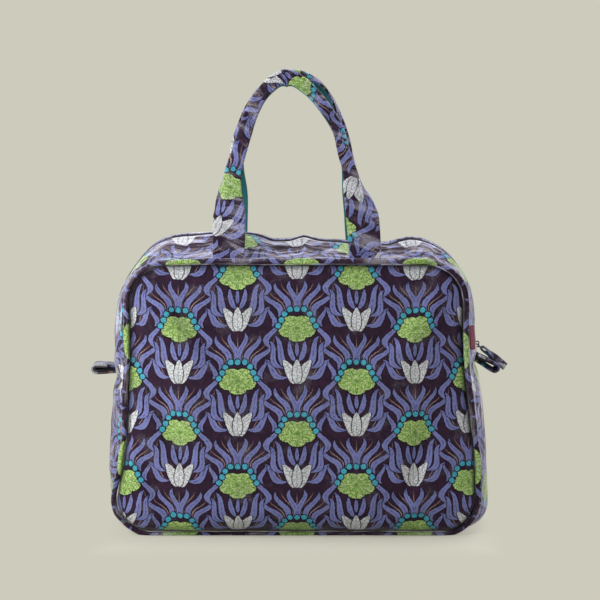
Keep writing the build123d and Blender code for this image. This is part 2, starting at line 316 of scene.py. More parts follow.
def velvetColour(shader, wander, fine, middling, patches):
    p = printed
    colours = {key: linear(value) for key, value in p.items() if isinstance(value, str)}
    u, v, w = shader.parts(vectorSum(vectorScale(shader.clothPlace(), (1000, 1000, 0)), vectorScale(wander, (2.2, 2.2, 0))))
    u = u + (p["shiftU"] - 1.1)
    v = v + (p["shiftV"] - 1.1)
    halfColumn = p["column"] / 2
    halfRow = p["row"] / 2
    column = (u / halfColumn + 0.5).floor()
    x = abs(u - column * halfColumn)
    climb = v + column * halfRow
    y = climb.wrap(-halfRow, halfRow)
    besideX = halfColumn - x
    besideY = (climb + halfRow).wrap(-halfRow, halfRow)
    colour = shader.mix(colours["ground"], colours["groundDeep"], patches * 0.6)

    def paint(below, shape, name, shade, veinWidth, depth):
        inside, off = shape
        inked = shader.mix(below, colours["outline"], inside.ease(-1.7, -0.8) * 0.9)
        body = shader.mix(inked, colours[name], inside.ease(-0.4, 0.4))
        return shader.mix(body, colours[shade], inside.ease(-0.2, 0.5) * off.ease(veinWidth, 0.1) * depth)

    # the outer strokes reach over into the next column, so they are drawn from there too
    for px, py, stems, reeds in ((besideX, besideY, outerStems, outerReeds), (x, y, outerStems + innerStems, outerReeds + innerReeds)):
        for stem in stems:
            colour = shader.mix(colour, colours["stem"], strokeShape(px, py, *stem)[0].ease(-0.2, 0.5) * 0.85)
        for reed in reeds:
            colour = paint(colour, strokeShape(px, py, *reed), "reed", "reedShade", 1.4, middling)
    # bloom
    across = x / 1.38
    up = y - 3
    r = (across * across + up * up).sqrt()
    angle = up.maths("ARCTAN2", across)
    inside = 11.6 + 4.0 * abs((angle * 2.5 + 0.785).cos()).sqrt() + 0.5 * abs((angle * 14).cos()) - r
    body = inside.ease(-0.2, 0.6)
    veins = abs((angle * 7 + r * 0.1).sin()).ease(0.42, 0.0) * r.ease(1.5, 6) * 0.65
    colour = shader.mix(colour, colours["outline"], inside.ease(-2.2, -1.0))
    colour = shader.mix(colour, colours["lime"], inside.ease(-0.4, 0.4))
    colour = shader.mix(colour, colours["limePale"], body * (inside.ease(3.2, 0.8) * 0.7).most(middling * 0.7))
    colour = shader.mix(colour, colours["limeShade"], body * (veins + fine * 0.65).most(r.ease(4, 1) * 0.8).least(1))
    for petal in petals:
        shape = strokeShape(x, y, *petal)
        colour = paint(colour, shape, "white", "whiteShade", 0.9, 0.6)
        colour = shader.mix(colour, colours["whiteShade"], shape[0].ease(-0.2, 0.5) * fine * 0.7)
    # berries in an arc over the bloom
    bow = (x * x + up * up).sqrt()
    swing = x.maths("ARCTAN2", up)
    index = (swing / 0.36 + 0.5).floor().least(4).most(0)
    aside = (swing - index * 0.36) * bow
    over = bow - 22.5 - 1.5 * (index * 1.57).sin()
    spot = (aside * aside + over * over).sqrt()
    colour = shader.mix(colour, colours["outline"], spot.ease(5.0, 3.9))
    colour = shader.mix(colour, colours["berry"], spot.ease(3.6, 2.9))
    return shader.mix(colour, colours["berryShade"], spot.ease(3.6, 2.9) * fine * 0.6)


pile = {"sheen": 0.75, "sheenRoughness": 0.30, "sheenTint": (0.95, 0.92, 1.0, 1), "roughness": 0.85, "nap": 0.0007}


def velvetMaterial():
    shader = Shader("printed velvet")
    place = shader.place()
    cloth = shader.clothPlace()
    wander = shader.noise(cloth, 420.0, 2.0, 0.6, 1)
    fine = shader.noise(cloth, 520.0, 1.0).ease(0.44, 0.60)
    middling = shader.noise(cloth, 240.0, 1.0).ease(0.35, 0.65)
    patches = shader.noise(cloth, 90.0, 2.0).ease(0.35, 0.65)
    crush = shader.noise(place, 48.0, 3.0, 0.6)
    tufts = shader.noise(place, 850.0, 2.0, 0.65)
    grain = shader.noise(place, 2600.0, 1.0)
    colour = velvetColour(shader, wander, fine, middling, patches)
    shade = crush.ease(0.35, 0.7) * 0.2 + tufts.ease(0.3, 0.72) * 0.34
    colour = shader.mix(colour, linear("0C070F"), shade * 0.75)
    # painted highlight and painted shade: pale streaks stand in for the velvet's sheen and dark creases for the shade
    # in its folds, scaled per piece, most of all on the gussets, with pale mottle at random over all the velvet; the
    # crease bump is real
    nap = shader.node("ShaderNodeAttribute", {"attribute_name": "nap"}, None, "Fac")
    creases = shader.noise(vectorScale(cloth, (15, 95, 0)), 1.0, 3.0, 0.6)
    broad = shader.noise(place, 24.0, 2.0, 0.5)
    brushedAndSheen = creases.ease(0.47, 0.62) * broad.ease(0.32, 0.58) * tufts.ease(0.78, 0.35)
    # painted highlight: pale streaks for the velvet's sheen, plus pale mottle at random
    colour = shader.mix(colour, linear("ECE7F6"), nap * brushedAndSheen * 0.60 + crush.ease(0.5, 0.8) * tufts.ease(0.75, 0.25) * 0.12)
    # painted shade: dark in the creases
    colour = shader.mix(colour, linear("0C070F"), nap * creases.ease(0.42, 0.33) * 0.8)
    # painted shade: a dark matte velvet is mixed in beside each seam and inside the folds of the tabs and pull,
    # standing in for the shade there
    seam = shader.node("ShaderNodeAttribute", {"attribute_name": "seam"}, None, "Fac")
    height = tufts * 0.6 + grain * 0.4 + crush * 0.8
    grooveShade = shader.principled(Base_Color=linear("100B14"), Roughness=0.9, Specular_IOR_Level=0.1)
    upright = shader.principled(
        Base_Color=colour, Roughness=pile["roughness"], Sheen_Weight=pile["sheen"], Sheen_Roughness=pile["sheenRoughness"],
        Sheen_Tint=pile["sheenTint"], Specular_IOR_Level=0.12, Normal=shader.bump(height, 0.6, pile["nap"], shader.bump(creases * nap, 0.7, 0.006)),
    )
    return shader.output(shader.node("ShaderNodeMixShader", None, {0: seam, 1: upright, 2: grooveShade}))


def liningMaterial():
    shader = Shader("teal lining")
    place = shader.clothPlace()
    x, y, z = shader.parts(place)
    warp = (x * 9000).sin()
    weft = (y * 9000).sin()
    weave = warp * weft
    blotch = shader.noise(place, 120.0, 3.0)
    colour = shader.mix(linear("0E6F73"), linear("0A5358"), weave.ease(-1.0, 1.0) * 0.5 + blotch * 0.4)
    return shader.finish(Base_Color=colour, Roughness=0.75, Sheen_Weight=0.2, Sheen_Roughness=0.5, Normal=shader.bump(weave, 0.3, 0.0002))


def tapeMaterial():
    shader = Shader("woven zip tape")
    x, y, z = shader.parts(shader.place())
    rib = ((x + z) * 5200).sin() * (y * 5200).sin()
    colour = shader.mix(linear("16131D"), linear("2A2634"), rib.ease(-1, 1))
    return shader.finish(Base_Color=colour, Roughness=0.8, Normal=shader.bump(rib, 0.4, 0.0002))


def coilMaterial():
    shader = Shader("nylon coil")
    grain = shader.noise(shader.place(), 800.0, 2.0)
    colour = shader.mix(linear("17141F"), linear("2B2735"), grain)
    return shader.finish(Base_Color=colour, Roughness=grain * 0.2 + 0.35)


def metalMaterial():
    shader = Shader("gunmetal")
    place = shader.place()
    brushedAndSheen = shader.noise(vectorScale(place, (1, 1, 12)), 700.0, 3.0)
    colour = shader.mix(linear("45434A"), linear("6B6870"), brushedAndSheen)
    return shader.finish(Base_Color=colour, Metallic=1.0, Roughness=brushedAndSheen * 0.25 + 0.28)


def ribbonMaterial():
    shader = Shader("red ribbon")
    x, y, z = shader.parts(shader.place())
    rib = (z * 9000).sin() * (x * 7000).sin()
    colour = shader.mix(linear("7C142C"), linear("420A1A"), rib.ease(-1, 1))
    return shader.finish(Base_Color=colour, Roughness=0.6, Normal=shader.bump(rib, 0.4, 0.0002))


velvet = velvetMaterial()
lining = liningMaterial()
tape = tapeMaterial()
coil = coilMaterial()
metal = metalMaterial()
ribbon = ribbonMaterial()
print("materials made")


# ---- mesh helpers

def gridFaces(rows, columns, closed=False):
    faces = []
    for row in range(rows - 1):
        for column in range(columns if closed else columns - 1):
            after = (column + 1) % columns
            faces.append((row * columns + column, row * columns + after, (row + 1) * columns + after, (row + 1) * columns + column))
    return faces


def meshObject(name, points, faces, cloth=None, materials=(), smooth=True, seam=None, nap=None):
    mesh = bpy.data.meshes.new(name)
    mesh.from_pydata([tuple(p) for p in points], [], faces)
    made = bpy.data.objects.new(name, mesh)
    bpy.context.scene.collection.objects.link(made)
    if cloth is not None:
        layer = mesh.uv_layers.new(name="cloth")
        corners = np.zeros(len(mesh.loops), int)
        mesh.loops.foreach_get("vertex_index", corners)
        layer.data.foreach_set("uv", np.asarray(cloth, float)[corners].ravel())
    # the seam attribute carries painted shade beside seams and in folds; the second attribute carries painted sheen and
    # crease shade
    for label, amounts in (("seam", seam), ("nap", nap)):
        if amounts is not None:
            amounts = np.broadcast_to(np.asarray(amounts, np.float32).ravel(), len(points)) if np.size(amounts) == 1 else np.asarray(amounts, np.float32).ravel()
            mesh.attributes.new(label, "FLOAT", "POINT").data.foreach_set("value", np.ascontiguousarray(amounts))
    for material in materials:
        mesh.materials.append(material)
    if smooth:
        mesh.polygons.foreach_set("use_smooth", [True] * len(mesh.polygons))
    mesh.update()
    return made


def applyAll(made):
    bpy.ops.object.select_all(action="DESELECT")
    made.select_set(True)
    bpy.context.view_layer.objects.active = made
    for modifier in list(made.modifiers):
        bpy.ops.object.modifier_apply(modifier=modifier.name)


def addSubdivision(made, levels):
    modifier = made.modifiers.new("finer", "SUBSURF")
    modifier.levels = levels
    modifier.render_levels = levels


# ---- the bag's soft shell

bagShape = {
    "seamWidths": (0.430, 0.392), "seamHeights": (0.0052, 0.3236), "seamRadii": (0.041, 0.048), "depth": 0.170,
    "middleWidths": (0.470, 0.422), "middleHeights": (-0.0012, 0.3536), "middleRadii": (0.030, 0.075),
    "dome": 0.020, "turn": 0.040, "wall": 0.0026, "slit": 0.010, "lean": 0.0042, "lip": 0.0012, "leftZipEnd": 0.187, "rightZipEnd": 0.200,
    "flatSteps": 64, "sideSteps": 40, "cornerSteps": 12, "rows": 16,
}
topLine = [(-0.205, -6), (-0.182, 0), (-0.157, 1), (-0.133, 2), (-0.108, 4), (-0.059, 4), (-0.047, 2), (-0.030, -5), (-0.010, -5), (0.008, 1), (0.027, -4), (0.051, -6), (0.080, -10), (0.113, -10), (0.125, -5), (0.137, -2), (0.162, -2), (0.187, -1), (0.205, 0)]


def filleted(corners, radii, counts, cornerSteps):
    points = []
    total = len(corners)
    for k in range(total):
        corner = np.array(corners[k])
        before = np.array(corners[k - 1]) - corner
        after = np.array(corners[(k + 1) % total]) - corner
        before /= np.linalg.norm(before)
        after /= np.linalg.norm(after)
        half = np.arccos(np.clip(before @ after, -1, 1)) / 2
        reach = radii[k] / tan(half)
        middle = before + after
        middle = corner + middle / np.linalg.norm(middle) * (radii[k] / sin(half))
        start = corner + before * reach - middle
        turn = pi - 2 * half
        for step in range(cornerSteps):
            angle = turn * step / cornerSteps
            points.append(middle + (start[0] * cos(angle) - start[1] * sin(angle), start[0] * sin(angle) + start[1] * cos(angle)))
        leave = corner + after * reach
        nextCorner = np.array(corners[(k + 1) % total])
        back = -after
        beyond = np.array(corners[(k + 2) % total]) - nextCorner
        beyond /= np.linalg.norm(beyond)
        nextHalf = np.arccos(np.clip(back @ beyond, -1, 1)) / 2
        arrive = nextCorner + back * (radii[(k + 1) % total] / tan(nextHalf))
        for step in range(counts[k]):
            points.append(leave + (arrive - leave) * step / counts[k])
    return np.array(points)


# how far the side seams draw in at each height, in mm
seamBow = {
    -1: ((0.0, 0), (0.03, -2.5), (0.055, -1), (0.088, 4.5), (0.125, 6.5), (0.16, 5.5), (0.20, 4.7), (0.24, 3.5), (0.28, 1), (0.32, 0)),
    1: ((0.0, 0), (0.05, 0), (0.09, -1.5), (0.13, 1), (0.16, 3), (0.20, 5), (0.235, 5.5), (0.27, 3), (0.30, 1), (0.32, 0)),
}


def outline(bulge, baseBulge):
    b = bagShape
    blend = lambda pair, share: b["seam" + pair[0]][pair[1]] * (1 - share) + b["middle" + pair[0]][pair[1]] * share
    bottomHalf = blend(("Widths", 0), bulge) / 2
    topHalf = blend(("Widths", 1), bulge) / 2
    low = blend(("Heights", 0), baseBulge)
    high = blend(("Heights", 1), bulge)
    low2 = blend(("Radii", 0), bulge)
    high2 = blend(("Radii", 1), bulge)
    corners = [(-bottomHalf, low), (bottomHalf, low), (topHalf, high), (-topHalf, high)]
    counts = [b["flatSteps"], b["sideSteps"], b["flatSteps"], b["sideSteps"]]
    loop = filleted(corners, [low2, low2, high2, high2], counts, b["cornerSteps"])
    for point in loop:
        if abs(point[0]) > 0.1:
            side = 1 if point[0] > 0 else -1
            edge = min((abs(point[0]) - 0.1) / 0.07, 1)
            point[0] -= side * readTable(seamBow[side], point[1]) / 1000 * (1 - bulge) * edge
    return np.roll(loop, -b["cornerSteps"] // 2, axis=0)


def loopNormals(loop):
    along = np.roll(loop, -1, axis=0) - np.roll(loop, 1, axis=0)
    along /= np.linalg.norm(along, axis=1)[:, None]
    return np.column_stack([along[:, 1], -along[:, 0]])


def ripple(x, y, z, scale, seed):
    return noise.noise(Vector((x * scale + seed, y * scale - seed, z * scale + 2 * seed)))


def shellRows():
    b = bagShape
    half = b["depth"] / 2
    slit = b["slit"] / 2
    side = [-half + (half - slit) * step / b["rows"] for step in range(b["rows"] + 1)]
    return side + [0.0] + [-y for y in side[::-1]]


# how far the ends stand out from the plain gusset at each height, in mm
endSwell = {
    -1: ((0.0, -2), (0.01, -3), (0.02, -6.6), (0.035, -7.5), (0.05, -5), (0.07, 0), (0.10, 2), (0.15, 2.5), (0.20, 5), (0.24, 6), (0.265, 3), (0.29, 0), (0.32, -4), (0.36, -6)),
    1: ((0.0, 3), (0.05, 1), (0.10, 1.5), (0.16, 1), (0.20, -0.5), (0.24, -2), (0.27, -4), (0.30, -7), (0.33, -9), (0.36, -8)),
}


# the top leans a little towards the front, and its height follows topLine; both fade out down the ends
def topShift(x, y, z):
    half = bagShape["depth"] / 2
    depth = y / half
    wave = np.interp(x, [p[0] for p in topLine], [p[1] / 1000 for p in topLine]) * (1 - depth ** 2)
    lean = bagShape["lean"] * 2.6 * depth * (1 - depth ** 2)
    return (wave + lean) * np.clip((z - 0.26) / 0.07, 0, 1)


def gussetGrid():
    half = bagShape["depth"] / 2
    grid = []
    for y in shellRows():
        depth = abs(y) / half
        loop = outline(1 - depth ** 2, 1 - depth ** 4)
        row = np.column_stack([loop[:, 0], np.full(len(loop), y), loop[:, 1]])
        full = 2.6 * depth * (1 - depth ** 2)
        for k, (x, _, z) in enumerate(row):
            swell = readTable(endSwell[1 if x > 0 else -1], z) / 1000
            level = min(max((z - 0.26) / 0.07, 0), 1)
            low = max(full, 1 - depth ** 2) if z < 0.07 else full
            row[k, 0] += np.sign(x) * swell * (low * (1 - level) + (1 - depth ** 2) * level) * min(max((abs(x) - 0.08) / 0.09, 0), 1)
        row[:, 2] += topShift(row[:, 0], y, row[:, 2])
        zipEnd = np.where(row[:, 0] < 0, bagShape["leftZipEnd"], bagShape["rightZipEnd"])
        pinch = np.exp(-((row[:, 2] - zipEnd) / 0.010) ** 2) * (1 - depth ** 2) * (np.abs(row[:, 0]) > 0.18)
        row[:, 0] -= np.sign(row[:, 0]) * 0.0045 * pinch
        # the cloth turns down to the tape beside the slit
        lip = bagShape["lip"] * np.exp(-((np.abs(y) - bagShape["slit"] / 2) / 0.0035) ** 2) * (np.abs(y) > 0.001)
        high = (row[:, 2] > zipEnd)[:, None]
        row[:, [0, 2]] -= loopNormals(loop) * lip * high
        grid.append(row)
    return np.array(grid)


def distanceTo(points, loop):
    following = np.roll(loop, -1, axis=0)
    along = following - loop
    lengths = (along ** 2).sum(1)
    best = np.full(len(points), 9.0)
    for start, step, length in zip(loop, along, lengths):
        share = np.clip(((points - start) @ step) / length, 0, 1)
        nearest = start + share[:, None] * step
        best = np.minimum(best, np.hypot(*(points - nearest).T))
    return best


def panelGrid(loop):
    across = bagShape["flatSteps"] + bagShape["cornerSteps"]
    upward = bagShape["sideSteps"] + bagShape["cornerSteps"]
    bottom = loop[:across + 1]
    right = loop[across:across + upward + 1]
    top = loop[across + upward:2 * across + upward + 1][::-1]
    left = np.vstack([loop[2 * across + upward:], loop[:1]])[::-1]
    s = np.linspace(0, 1, across + 1)[None, :, None]
    t = np.linspace(0, 1, upward + 1)[:, None, None]
    sides = (1 - t) * bottom[None] + t * top[None] + (1 - s) * left[:, None] + s * right[:, None]
    corners = (1 - t) * ((1 - s) * bottom[0] + s * bottom[-1]) + t * ((1 - s) * top[0] + s * top[-1])
    return sides - corners


def domeDepth(d):
    turn = bagShape["turn"]
    share = np.clip(1 - d / turn, 0, 1)
    rest = np.clip((d - turn) / 0.11, 0, 1)
    return bagShape["dome"] * ((1 - share ** 2) ** 0.72 * 0.93 + 0.07 * rest)


def panelPoints(grid, sign):
    flat = grid.reshape(-1, 2)
    loop = outline(0, 0)
    d = distanceTo(flat, loop)
    depth = domeDepth(d)
    y = sign * (bagShape["depth"] / 2 + depth)
    return np.column_stack([flat[:, 0], y, flat[:, 1]]).reshape(grid.shape[0], grid.shape[1], 3), d


def clothOnPanel(points):
    rows, columns, _ = points.shape
    stepU = np.diff(points, axis=1)
    stepV = np.diff(points, axis=0)
    u = np.zeros((rows, columns))
    v = np.zeros((rows, columns))
    u[:, 1:] = np.cumsum(np.sign(stepU[..., 0]) * np.hypot(stepU[..., 0], stepU[..., 1]), axis=1)
    v[1:] = np.cumsum(np.sign(stepV[..., 2]) * np.hypot(stepV[..., 1], stepV[..., 2]), axis=0)
    middle = columns // 2
    u += points[:, middle, 0][:, None] - u[:, middle][:, None]
    level = rows // 2
    v += points[level, :, 2][None, :] - v[level][None, :]
    return np.dstack([u, v])


def clothOnGusset(grid):
    rows, columns, _ = grid.shape
    middle = grid[rows // 2]
    steps = np.linalg.norm(np.diff(np.vstack([middle, middle[:1]]), axis=0), axis=1)
    along = np.concatenate([[0], np.cumsum(steps)])
    topMiddle = along[int(1.5 * (bagShape["flatSteps"] + bagShape["cornerSteps"]) + bagShape["sideSteps"] + bagShape["cornerSteps"])]
    across = np.concatenate([np.zeros((1, columns)), np.cumsum(np.linalg.norm(np.diff(grid, axis=0), axis=2), axis=0)])
    return topMiddle - along, across


settling = {"frames": 22, "pressure": 2.6, "spare": 0.012, "bending": 1.6, "hold": 0.06, "zipHold": (1.0, 1.0, 0.7, 0.4, 0.2), "cap": 0.007}


# one welded shell of panels and gusset, blown up softly between its seams by the cloth solver
def settle(gusset, front, back):
    rows, around, _ = gusset.shape
    points = [gusset.reshape(-1, 3)]
    faces = gridFaces(rows, around, True)
    faces = [face[::-1] for face in faces]
    known = {tuple(np.round(p, 6)): k for k, p in enumerate(gusset.reshape(-1, 3)) if k < around or k >= (rows - 1) * around}
    total = rows * around
    places = []
    for panel, sign in ((front, -1), (back, 1)):
        flat = panel.reshape(-1, 3)
        place = np.zeros(len(flat), int)
        extra = []
        for k, point in enumerate(flat):
            found = known.get(tuple(np.round(point, 6)))
            if found is None:
                found = total
                total += 1
                extra.append(point)
            place[k] = found
        points.append(np.array(extra))
        places.append(place)
        panelFaces = gridFaces(*panel.shape[:2])
        faces += [tuple(place[k] for k in (face if sign < 0 else face[::-1])) for face in panelFaces]
    start = np.vstack(points)
    shell = meshObject("settling shell", start, faces)
    seams = shell.vertex_groups.new(name="held")
    row = np.arange(len(start)) // around
    for k, point in enumerate(start):
        onSeam = k < rows * around and row[k] in (0, rows - 1)
        onFloor = point[2] < 0.004
        fromZip = abs(row[k] - rows // 2) if k < rows * around and point[2] > 0.17 else 99
        beside = settling["zipHold"][fromZip] if fromZip < len(settling["zipHold"]) else 0
        seams.add([k], 1.0 if onSeam or onFloor else max(settling["hold"], beside), "REPLACE")
    cloth = shell.modifiers.new("cloth", "CLOTH")
    cloth.settings.quality = 6
    cloth.settings.mass = 0.35
    cloth.settings.tension_stiffness = 18
    cloth.settings.compression_stiffness = 12
    cloth.settings.shear_stiffness = 8
    cloth.settings.bending_stiffness = settling["bending"]
    cloth.settings.vertex_group_mass = "held"
    cloth.settings.pin_stiffness = 1.0
    cloth.settings.shrink_min = -settling["spare"]
    cloth.settings.use_pressure = True
    cloth.settings.uniform_pressure_force = settling["pressure"]
    cloth.settings.effector_weights.gravity = 0.15
    cloth.collision_settings.use_collision = False
    cloth.collision_settings.use_self_collision = False
    cloth.point_cache.frame_start = 1
    cloth.point_cache.frame_end = settling["frames"]
    for step in range(1, settling["frames"] + 1):
        bpy.context.scene.frame_set(step)
    shown = shell.evaluated_get(bpy.context.evaluated_depsgraph_get())
    end = np.zeros(len(start) * 3)
    shown.data.vertices.foreach_get("co", end)
    end = end.reshape(-1, 3)
    bpy.context.scene.frame_set(1)
    bpy.data.objects.remove(shell)
    move = end - start
    length = np.linalg.norm(move, axis=1)
    print("cloth moved by up to", length.max(), "and on average", length.mean())
    move *= np.minimum(1, settling["cap"] / np.maximum(length, 1e-9))[:, None]
    end = start + move
    end[:, 2] = np.maximum(end[:, 2], -0.0008)
    shapes = [end[place].reshape(panel.shape) for place, panel in zip(places, (front, back))]
    return end[:rows * around].reshape(gusset.shape), shapes[0], shapes[1]


pucker = {"depth": 0.0011, "fade": 0.016, "pitch": 0.011}


def gridNormals(grid, closed):
    if closed:
        stepU = np.roll(grid, -1, axis=1) - np.roll(grid, 1, axis=1)
    else:
        stepU = np.gradient(grid, axis=1)
    normals = np.cross(stepU, np.gradient(grid, axis=0))
    return normals / np.maximum(np.linalg.norm(normals, axis=2), 1e-12)[..., None]


# short gathers that run square to the seams, and slow dents over the whole cloth
def gather(grid, distance, seed, closed):
    normals = gridNormals(grid, closed)
    made = grid.copy()
    loop = outline(0, 0)
    for row in range(grid.shape[0]):
        for column in range(grid.shape[1]):
            x, y, z = grid[row, column]
            d = distance[row, column]
            turn = atan2(z - 0.165, x)
            stretch = hypot(x, z - 0.165)
            fold = noise.noise(Vector((turn * stretch / pucker["pitch"], d / 0.05, seed)))
            dent = ripple(x, y, z, 17, seed) * 0.0016 + ripple(x, y, z, 42, seed + 5) * 0.0007
            free = min(d / 0.004, 1)
            amount = fold * pucker["depth"] * np.exp(-d / pucker["fade"]) * free + dent * min(d / 0.02, 1)
            made[row, column] += normals[row, column] * amount
    return made


def buildShell():
    gusset = gussetGrid()
    loop = outline(0, 0)
    front, d = panelPoints(panelGrid(loop), -1)
    back, _ = panelPoints(panelGrid(loop), 1)
    gusset, front, back = settle(gusset, front, back)
    fromSeam = np.broadcast_to((bagShape["depth"] / 2 - np.abs(np.array(shellRows())))[:, None], gusset.shape[:2])
    d = d.reshape(front.shape[:2])
    gusset = gather(gusset, fromSeam, 4.0, True)
    gusset[..., 2] = np.maximum(gusset[..., 2], 0.0004)
    # the two masks at the end are painted shade beside the seams, on the panels and on the gusset
    return gusset, gather(front, d, 9.0, False), gather(back, d, 13.0, False), 0.85 * np.exp(-(d / 0.0030) ** 2), 0.8 * np.exp(-(fromSeam / 0.0020) ** 2)


def panelPiece(name, points, sign, seam):
    rows, columns, _ = points.shape
    points = points.copy()
    edge = np.zeros((rows, columns), bool)
    edge[0] = edge[-1] = True
    edge[:, 0] = edge[:, -1] = True
    points[edge, 1] += sign * 0.0005
    cloth = clothOnPanel(points)
    if sign > 0:
        cloth[..., 0] *= -1
    faces = gridFaces(rows, columns)
    if sign > 0:
        faces = [face[::-1] for face in faces]
    made = meshObject(name, points.reshape(-1, 3), faces, cloth.reshape(-1, 2), [velvet, lining], True, seam)
    return finishWall(made)


def finishWall(made):
    addSubdivision(made, 1)
    wall = made.modifiers.new("wall", "SOLIDIFY")
    wall.thickness = bagShape["wall"]
    wall.offset = -1
    wall.material_offset = 1
    wall.material_offset_rim = 0
    applyAll(made)
    return made


def gussetPieces(gusset, seam):
    rows, around, _ = gusset.shape
    along, across = clothOnGusset(gusset)
    points = gusset.copy()
    points[0, :, 1] += 0.0005
    points[-1, :, 1] -= 0.0005
    closing = np.concatenate([points, points[:, :1]], axis=1)
    cloth = np.dstack([np.broadcast_to(along, (rows, around + 1)), np.concatenate([across, across[:, :1]], axis=1)])
    faces = gridFaces(rows, around + 1)
    flat = closing.reshape(-1, 3)
    cloth = cloth.reshape(-1, 2)
    seam = np.concatenate([seam, seam[:, :1]], axis=1).ravel()
    groups = {"base_gusset": [], "top_gusset_front": [], "top_gusset_rear": []}
    slitRows = (bagShape["rows"], bagShape["rows"] + 1)
    for face in faces:
        centre = flat[list(face)].mean(0)
        zipEnd = bagShape["rightZipEnd"] if centre[0] > 0 else bagShape["leftZipEnd"]
        row = face[0] // (around + 1)
        if centre[2] < zipEnd:
            groups["base_gusset"].append(face[::-1])
        elif row in slitRows:
            continue
        else:
            groups["top_gusset_front" if centre[1] < 0 else "top_gusset_rear"].append(face[::-1])
    made = {}
    for name, members in groups.items():
        used = sorted({k for face in members for k in face})
        index = {k: n for n, k in enumerate(used)}
        # the gussets take the full painted sheen and crease shade
        piece = meshObject(name + "_cloth", flat[used], [tuple(index[k] for k in face) for face in members], cloth[used], [velvet, lining], True, seam[used], 1.0)
        weld = piece.modifiers.new("weld", "WELD")
        weld.merge_threshold = 0.00001
        made[name] = finishWall(piece)
    return made


def declare(piece, body, slot, *replaced):
    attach(piece, body)
    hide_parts(*replaced)


gussetShell, frontShell, backShell, panelSeamShade, gussetSeamShade = buildShell()
frontPanel = panelPiece("front_panel_cloth", frontShell, -1, panelSeamShade)
backPanel = panelPiece("rear_panel_cloth", backShell, 1, panelSeamShade)
declare(frontPanel, "bag", "velvet", "front_panel")
declare(backPanel, "bag", "velvet", "rear_panel")
gussets = gussetPieces(gussetShell, gussetSeamShade)
for nodeName, piece in gussets.items():
    declare(piece, "bag", "velvet", nodeName)
print("shell made")


# ---- piping round both panels

cord = {"radius": 0.0035, "clear": 0.0010, "sides": 14, "perStep": 2, "wobble": 0.0007, "stray": 0.0013}


def closedSamples(loop, count):
    joined = np.vstack([loop, loop[:1]])
    along = np.concatenate([[0], np.cumsum(np.linalg.norm(np.diff(joined, axis=0), axis=1))])
    places = np.linspace(0, along[-1], count, endpoint=False)
    return np.column_stack([np.interp(places, along, joined[:, k]) for k in range(joined.shape[1])]), places


def pipingPiece(name, sign):
    loop = outline(0, 0)
    outer = loop + loopNormals(loop) * (cord["radius"] + cord["clear"])
    stations, along = closedSamples(outer, len(loop) * cord["perStep"])
    normals = loopNormals(stations)
    points, cloth = [], []
    for (x, z), (nx, nz), run in zip(stations, normals, along):
        stray = ripple(x, sign, z, 26, 8.0) * cord["stray"]
        for side in range(cord["sides"]):
            angle = 2 * pi * side / cord["sides"]
            lump = ripple(x, sign * 0.1 + cos(angle) * 0.004, z, 90, 3.0) * cord["wobble"]
            radius = cord["radius"] + lump
            out = radius * cos(angle)
            points.append((x + nx * (out + stray), sign * (bagShape["depth"] / 2 + radius * sin(angle)), max(z + nz * (out + stray), 0.0003)))
            cloth.append((run, cord["radius"] * angle + 0.3))
    count = len(stations)
    faces = []
    for k in range(count):
        for side in range(cord["sides"]):
            nextK, nextSide = (k + 1) % count, (side + 1) % cord["sides"]
            face = (k * cord["sides"] + side, nextK * cord["sides"] + side, nextK * cord["sides"] + nextSide, k * cord["sides"] + nextSide)
            faces.append(face if sign > 0 else face[::-1])
    # the piping takes half the painted sheen and crease shade
    return meshObject(name, points, faces, cloth, [velvet], True, None, 0.5)


declare(pipingPiece("front_piping_cloth", -1), "bag", "velvet", "front_piping")
declare(pipingPiece("rear_piping_cloth", 1), "bag", "velvet", "rear_piping")
print("piping made")


# ---- zip

zipParts = {"tapeWidth": 0.013, "tapeThickness": 0.0008, "tapeInset": 0.00385, "coilWidth": 0.0026, "coilHeight": 0.0022, "coilGap": 0.0012, "proud": 0.0015, "toothPitch": 0.0019, "toothLength": 0.0012}


def zipLoop(inset):
    loop = outline(1, 1)
    high = np.clip((loop[:, 1] - 0.26) / 0.05, 0, 1)
    edge = np.clip((np.abs(loop[:, 0]) - 0.08) / 0.09, 0, 1)
    swells = np.array([readTable(endSwell[1 if x > 0 else -1], z) for x, z in loop]) / 1000
    normals = loopNormals(loop)
    loop[:, 0] += np.sign(loop[:, 0]) * swells * np.clip((loop[:, 1] - 0.26) / 0.07, 0, 1) * edge
    loop = loop - normals * (inset - zipParts["proud"] * high)[:, None]
    start = bagShape["flatSteps"] // 2
    loop = np.roll(loop, -start, axis=0)
    ends = np.where(loop[:, 0] > 0, bagShape["rightZipEnd"], bagShape["leftZipEnd"])
    return loop[loop[:, 1] > ends + 0.0004]


def tapePiece(name, sign):
    z = zipParts
    points, cloth = [], []
    near, far = z["coilGap"] / 2, z["tapeWidth"]
    for inset in (z["tapeInset"], z["tapeInset"] + z["tapeThickness"]):
        loop = zipLoop(inset)
        for y in (near, far):
            lifted = loop[:, 1] + topShift(loop[:, 0], sign * y, loop[:, 1])
            for k, (x, height) in enumerate(zip(loop[:, 0], lifted)):
                points.append((x, sign * y, height))
                cloth.append((k * 0.004, y))
    count = len(loop)
    a, b, c, d = 0, count, 2 * count, 3 * count
    faces = []
    for k in range(count - 1):
        for first, second in ((a, b), (b, d), (d, c), (c, a)):
            faces.append((first + k, second + k, second + k + 1, first + k + 1))
    faces += [(a, c, d, b), (a + count - 1, b + count - 1, d + count - 1, c + count - 1)]
    if sign < 0:
        faces = [face[::-1] for face in faces]
    return meshObject(name, points, faces, cloth, [tape], False)


